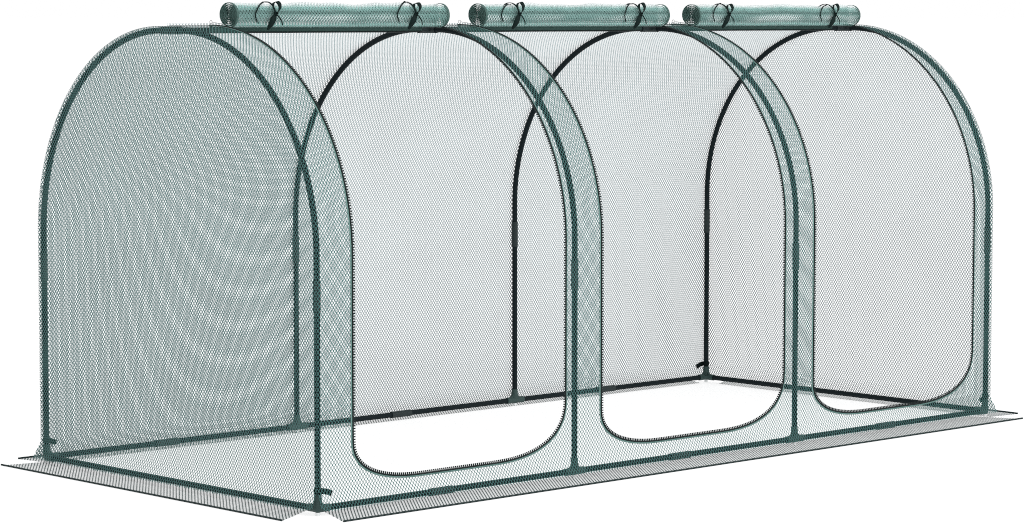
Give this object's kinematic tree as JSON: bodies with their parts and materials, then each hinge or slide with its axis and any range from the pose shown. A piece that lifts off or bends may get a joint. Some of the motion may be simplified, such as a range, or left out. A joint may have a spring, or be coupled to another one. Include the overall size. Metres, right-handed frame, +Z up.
{
  "type": "crop cage",
  "caption": "Tunnel-shaped netted crop cage on bent tube hoops, with zipped front doors rolled up at the ridge and a net skirt on the ground.",
  "frame": {"origin": "centre of the ground plan, on the ground", "axes": "+X along the ridge, towards the right end; +Y from the door side to the back; +Z up"},
  "size_m": [2.951, 1.436, 1.2946],
  "materials": {
    "tube": "dark green-black powder coat, satin",
    "fitting": "moulded green plastic, matt",
    "net": "open knitted net, green",
    "zip": "woven zip tape with coarse teeth",
    "ribbon": "black woven ribbon"
  },
  "bodies": {
    "root": {"hoop_1_front_arch": "tube", "hoop_1_back_arch": "tube", "hoop_2_front_arch": "tube", "hoop_2_back_arch": "tube", "hoop_3_front_arch": "tube", "hoop_3_back_arch": "tube", "hoop_4_front_arch": "tube", "hoop_4_back_arch": "tube", "hoop_1_legs": "tube", "hoop_2_legs": "tube", "hoop_3_legs": "tube", "hoop_4_legs": "tube", "ridge_tubes": "tube", "front_rail_1": "tube", "front_rail_2": "tube", "front_rail_3": "tube", "back_rail_1": "tube", "back_rail_2": "tube", "back_rail_3": "tube", "left_end_rail": "tube", "right_end_rail": "tube", "leg_couplers": "fitting", "rail_couplers": "fitting", "ridge_fittings": "fitting", "corner_fittings": "fitting", "tee_fittings": "fitting", "left_end_net": "net", "right_end_net": "net", "back_net": "net", "front_net_1": "net", "front_net_2": "net", "front_net_3": "net", "front_skirt": "net", "back_skirt": "net", "left_skirt": "net", "right_skirt": "net", "door_roll_1": "net", "door_roll_2": "net", "door_roll_3": "net", "door_zip_1": "zip", "door_zip_2": "zip", "door_zip_3": "zip", "roll_ties": "ribbon", "corner_straps": "ribbon"}
  },
  "joints": []
}
